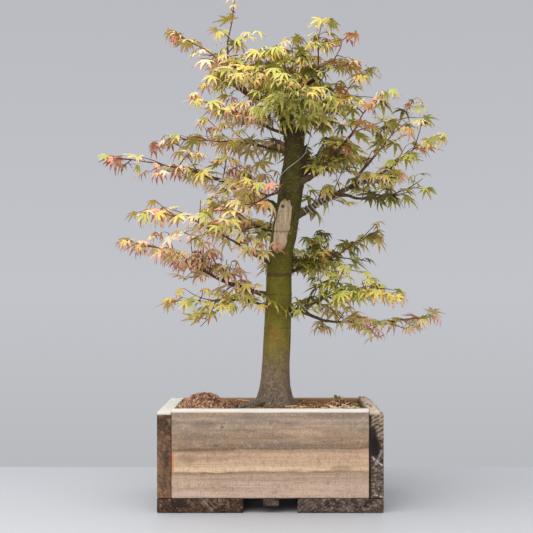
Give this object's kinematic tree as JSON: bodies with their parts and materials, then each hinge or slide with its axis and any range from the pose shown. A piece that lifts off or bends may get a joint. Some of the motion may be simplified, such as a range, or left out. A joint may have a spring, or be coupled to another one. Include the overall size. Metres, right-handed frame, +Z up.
{
  "type": "potted japanese maple",
  "caption": "Young maple with a straight leaning trunk, spreading boughs and spring foliage, in a rough sawn plank planter.",
  "frame": {"origin": "middle of the planter's underside, on the ground", "axes": "+X to the right along the planter's long front, +Y to the back, +Z up"},
  "size_m": [0.6893, 0.5891, 0.9806],
  "materials": {
    "weathered_plank": "rough sawn, weathered grey",
    "brown_plank": "rough sawn, stained brown",
    "pale_batten": "rough sawn, pale",
    "clay_soil": "loose fired clay grains",
    "green_bark": "smooth green bark, grey at the foot",
    "bough_bark": "smooth brown bark",
    "olive": "thin matt leaf, olive",
    "lime": "thin matt leaf, lime",
    "straw": "thin matt leaf, straw",
    "blush": "thin matt leaf, blush",
    "rose": "thin matt leaf, rose"
  },
  "bodies": {
    "root": {"front_board": "weathered_plank", "back_board": "weathered_plank", "left_end_board": "brown_plank", "right_end_board": "brown_plank", "left_floor_board": "brown_plank", "right_floor_board": "brown_plank", "drain_batten": "pale_batten", "soil": "clay_soil", "trunk": "green_bark", "left_long_bough": "bough_bark", "left_high_bough": "bough_bark", "left_upper_bough": "bough_bark", "left_mid_bough": "bough_bark", "left_low_bough": "bough_bark", "left_lowest_bough": "bough_bark", "leader_bough": "bough_bark", "top_left_bough": "bough_bark", "top_mid_bough": "bough_bark", "top_right_bough": "bough_bark", "top_rise_bough": "bough_bark", "shoulder_bough": "bough_bark", "right_upper_bough": "bough_bark", "right_long_bough": "bough_bark", "right_rise_bough": "bough_bark", "right_long_low_bough": "bough_bark", "right_mid_bough": "bough_bark", "right_mid_low_bough": "bough_bark", "right_lowest_bough": "bough_bark", "front_upper_bough": "bough_bark", "front_low_bough": "bough_bark", "back_upper_bough": "bough_bark", "back_mid_bough": "bough_bark", "back_left_bough": "bough_bark", "back_right_bough": "bough_bark", "left_long_leaves": "blush", "left_high_leaves": "straw", "left_upper_leaves": "straw", "left_mid_leaves": "rose", "left_low_leaves": "blush", "left_lowest_leaves": "olive", "leader_leaves": "rose", "top_left_leaves": "straw", "top_mid_leaves": "olive", "top_right_leaves": "straw", "top_rise_leaves": "rose", "shoulder_leaves": "olive", "right_upper_leaves": "olive", "right_long_leaves": "olive", "right_rise_leaves": "straw", "right_long_low_leaves": "lime", "right_mid_leaves": "lime", "right_mid_low_leaves": "lime", "right_lowest_leaves": "blush", "front_upper_leaves": "lime", "front_low_leaves": "rose", "back_upper_leaves": "olive", "back_mid_leaves": "lime", "back_left_leaves": "straw", "back_right_leaves": "olive"}
  },
  "joints": []
}
